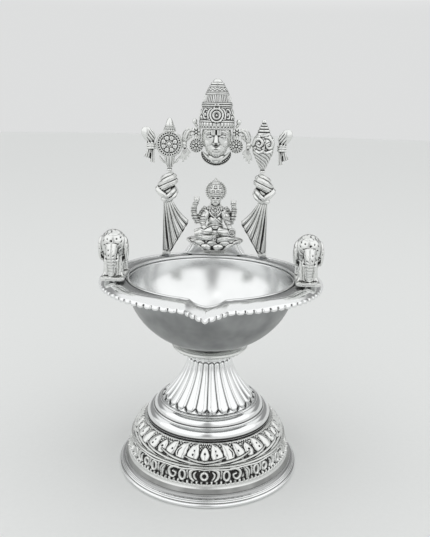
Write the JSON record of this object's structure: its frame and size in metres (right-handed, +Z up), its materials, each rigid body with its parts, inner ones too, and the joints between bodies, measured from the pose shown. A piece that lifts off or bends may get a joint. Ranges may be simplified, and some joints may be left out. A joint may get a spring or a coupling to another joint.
{
  "type": "oil lamp",
  "caption": "Footed oil lamp: a round bowl with a pointed wick spout on a fluted stem and domed foot, elephants on the rim, and a seated figure below a crowned head at the back.",
  "frame": {"origin": "centre of the flat underside of the foot, on the lamp's own axis", "axes": "+Z up along the axis of the stem; -Y points forwards through the wick spout; +X to the right seen from the front"},
  "size_m": [0.095, 0.1028, 0.1683],
  "materials": {
    "bright_silver": "brass plated with silver and polished bright",
    "bowl_silver": "spun brass plated with silver, satin outside and polished inside",
    "antique_silver": "cast or pressed brass plated with silver, darkened in its recesses and polished on its high places",
    "fixing_steel": "plain zinc-plated steel fastener",
    "bare_brass": "sheet brass, lightly brushed"
  },
  "bodies": {
    "root": {"foot_rim": "bright_silver", "base_plate": "bare_brass", "foot_band_lower": "antique_silver", "foot_band_upper": "antique_silver", "foot_dome": "bright_silver", "fluted_stem": "bright_silver", "neck_ring": "bright_silver", "collar": "antique_silver", "tie_stud": "fixing_steel", "tie_washer": "fixing_steel", "tie_nut": "fixing_steel", "bowl": "bowl_silver", "spout_channel": "bright_silver", "rim_plate": "bowl_silver", "rim_border": "bright_silver", "elephant_rivet_left": "fixing_steel", "elephant_rivet_right": "fixing_steel", "scarf_rivet_left": "fixing_steel", "scarf_rivet_right": "fixing_steel", "bracket_screw_left": "fixing_steel", "bracket_screw_right": "fixing_steel", "elephant_left": "antique_silver", "elephant_right": "antique_silver", "figure_bracket": "bright_silver", "lotus_seat": "antique_silver", "seated_figure": "antique_silver", "figure_halo": "antique_silver", "scarf_left": "antique_silver", "scarf_right": "antique_silver", "knot_left": "antique_silver", "knot_right": "antique_silver", "discus_holder": "antique_silver", "discus": "antique_silver", "discus_finial": "antique_silver", "conch": "antique_silver", "outer_ribbon_left": "antique_silver", "outer_ribbon_right": "antique_silver", "inner_ribbon_left": "antique_silver", "inner_ribbon_right": "antique_silver", "crowned_head": "antique_silver", "crown": "antique_silver", "neck_collar": "antique_silver", "ear_ornament_left": "antique_silver", "ear_ornament_right": "antique_silver"}
  },
  "joints": []
}
